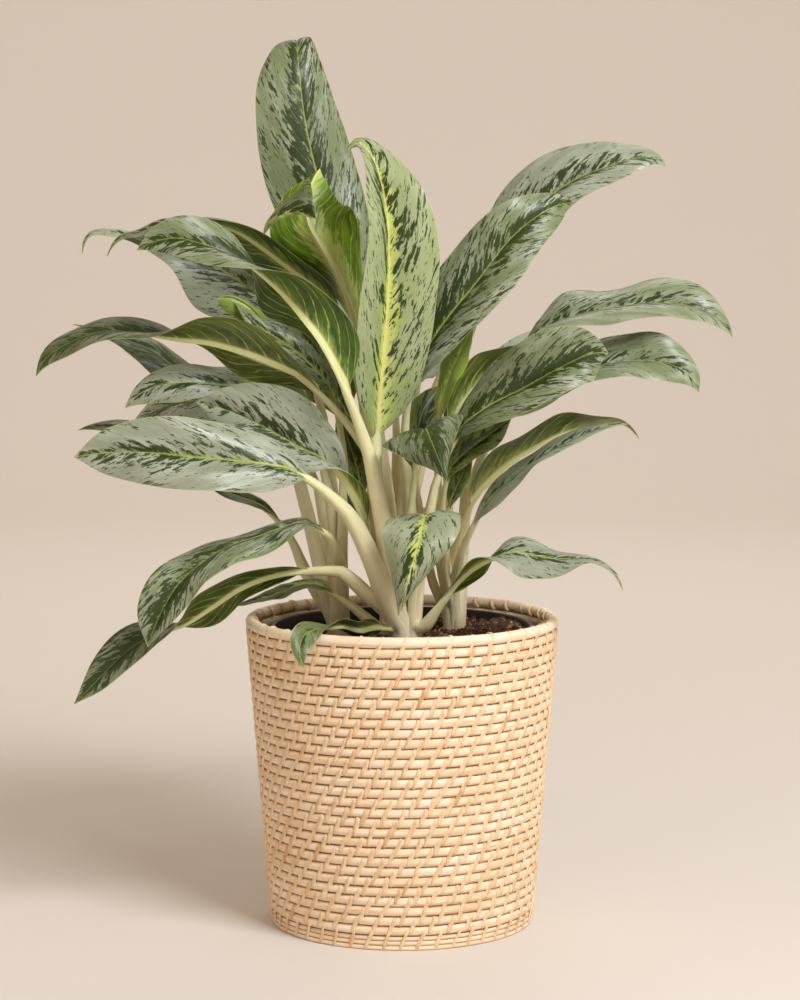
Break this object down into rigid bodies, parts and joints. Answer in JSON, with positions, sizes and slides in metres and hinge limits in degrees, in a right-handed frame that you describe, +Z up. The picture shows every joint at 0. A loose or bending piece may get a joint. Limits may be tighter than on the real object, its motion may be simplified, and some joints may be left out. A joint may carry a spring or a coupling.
{
  "type": "potted chinese evergreen",
  "caption": "Leafy clump of patterned, arching blades on pale stalks, growing in a nursery pot that stands inside a round woven rattan basket planter.",
  "frame": {"origin": "centre of the basket's underside, on the surface that it stands on", "axes": "+Z up along the basket's axis, -Y towards the front of the plant, +X to its right as seen from the front"},
  "size_m": [0.6876, 0.504, 0.8863],
  "materials": {
    "rattan_cane": "satin",
    "pot_plastic": "satin",
    "soil": "matte",
    "stalk": "satin",
    "leaf": "satin",
    "leaf_young": "satin"
  },
  "bodies": {
    "root": {"basket_drum": "rattan_cane", "basket_rim_cane": "rattan_cane", "basket_foot_band": "rattan_cane", "nursery_pot": "pot_plastic", "soil": "soil", "shoot_front": "stalk", "shoot_left": "stalk", "shoot_right": "stalk", "shoot_back": "stalk", "blade_top": "leaf", "blade_young_crown": "leaf_young", "blade_front_upright": "leaf", "blade_right_tall": "leaf", "blade_right_far_high": "leaf", "blade_right_upper": "leaf", "blade_right_middle": "leaf", "blade_right_front": "leaf", "blade_right_olive": "leaf", "blade_right_young": "leaf_young", "blade_right_inner_dark": "leaf", "blade_right_low_shade": "leaf", "blade_right_small_shade": "leaf", "blade_front_small": "leaf", "blade_front_drooping": "leaf", "blade_right_olive_low": "leaf", "blade_right_green_low": "leaf", "blade_right_lowest": "leaf", "blade_left_big": "leaf", "blade_left_second": "leaf", "blade_left_third": "leaf", "blade_left_long": "leaf", "blade_left_behind_long": "leaf", "blade_left_twisted": "leaf", "blade_left_upper_tip": "leaf", "blade_left_silver_behind": "leaf", "blade_left_young": "leaf_young", "blade_left_fold": "leaf", "blade_left_deep": "leaf", "blade_left_inner_dark": "leaf", "blade_left_low_drooping": "leaf", "blade_left_lowest": "leaf", "blade_left_low_thin": "leaf", "blade_rim_hanging": "leaf", "blade_left_behind_low": "leaf", "blade_back_right_high": "leaf", "blade_back_left_high": "leaf", "blade_back_middle": "leaf", "blade_back_right_low": "leaf", "blade_back_left_low": "leaf", "blade_back_lowest": "leaf", "blade_right_behind": "leaf", "blade_left_behind_high": "leaf"}
  },
  "joints": []
}
